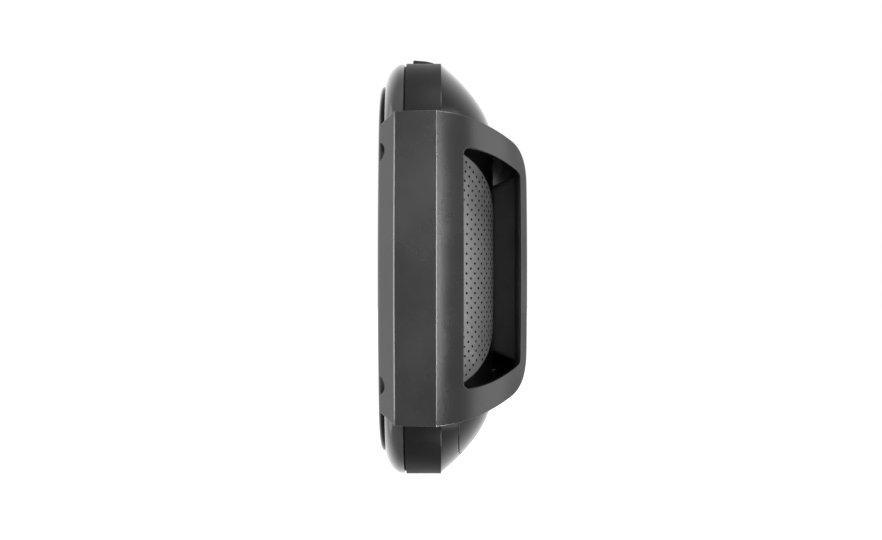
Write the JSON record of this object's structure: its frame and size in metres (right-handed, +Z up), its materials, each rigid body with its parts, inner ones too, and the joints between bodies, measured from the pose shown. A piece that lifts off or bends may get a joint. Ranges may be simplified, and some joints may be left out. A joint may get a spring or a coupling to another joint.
{
  "type": "radar detector with display in a locking cradle",
  "caption": "Landscape in-vehicle detector and display unit with a domed back, side speaker grilles and top keys, held by bolted clamps in a metal cradle.",
  "frame": {"origin": "centre of the four mounting holes, on the cradle's rear face", "axes": "+Y out of the rear mounting face, +Z up, +X along the width; the display faces -Y"},
  "size_m": [0.1436, 0.0315, 0.0919],
  "materials": {
    "cradle_metal": "satin fine-textured dark grey, bright worn edges",
    "screw_steel": "zinc-plated",
    "brass": "machined",
    "gold": "gold-plated",
    "pad_rubber": "soft matte",
    "dock_plastic": "fine spark texture",
    "circuit_board": "solder mask",
    "glass": "black-backed cover glass, opaque when off",
    "display": "display off",
    "bezel_gloss": "polished",
    "band_matte": "fine spark texture",
    "dome_gloss": "polished",
    "grille_metal": "perforated sheet, satin",
    "speaker_black": "matte",
    "frame_steel": "stamped",
    "chip_black": "epoxy package",
    "battery_wrap": "foil pouch",
    "horn_metal": "die-cast",
    "lens_red": "infrared-pass",
    "ceramic": "ceramic",
    "switch_plastic": "moulded",
    "key_black": "satin"
  },
  "bodies": {
    "cradle": {"rear_housing": "cradle_metal", "right_clamp": "cradle_metal", "left_clamp": "cradle_metal", "clamp_screws": "screw_steel", "clamp_inserts": "brass", "clamp_pads": "pad_rubber", "dock_housing": "dock_plastic", "dock_board": "circuit_board", "dock_pins": "gold", "dock_screws": "screw_steel", "power_inlet": "dock_plastic", "cover_glass": "glass", "display_module": "display", "front_bezel": "bezel_gloss", "seam_gasket": "pad_rubber", "mid_band": "band_matte", "rear_cover": "dome_gloss", "port_door": "dome_gloss", "right_grille": "grille_metal", "left_grille": "grille_metal", "right_speaker": "speaker_black", "left_speaker": "speaker_black", "contact_pads": "gold", "case_screws": "screw_steel", "chassis_plate": "frame_steel", "main_board": "circuit_board", "board_spacers": "screw_steel", "board_chips": "chip_black", "shield_can": "frame_steel", "usb_port": "frame_steel", "card_slot": "frame_steel", "battery": "battery_wrap", "receiver_board": "circuit_board", "radar_horn": "horn_metal", "laser_sensor": "speaker_black", "laser_lens": "lens_red", "gps_antenna": "ceramic", "key_board": "circuit_board", "key_switches": "switch_plastic", "rocker_pin": "screw_steel"},
    "power_key": {"power_key": "key_black"},
    "mute_key": {"mute_key": "key_black"},
    "volume_rocker": {"volume_rocker": "key_black"}
  },
  "joints": [
    {"name": "power_key_press", "type": "slide", "parent": "cradle", "child": "power_key", "axis": [0, 0, -1], "range_m": [0, 0.0004], "stiffness_N_per_m": 500},
    {"name": "mute_key_press", "type": "slide", "parent": "cradle", "child": "mute_key", "axis": [0, 0, -1], "range_m": [0, 0.0004], "stiffness_N_per_m": 500},
    {"name": "volume_rock", "type": "hinge", "parent": "cradle", "child": "volume_rocker", "pos_m": [-0.011, -0.02185, 0.0414], "axis": [0, 1, 0], "range_deg": [-1.2, 1.2], "stiffness_Nm_per_rad": 0.1}
  ]
}
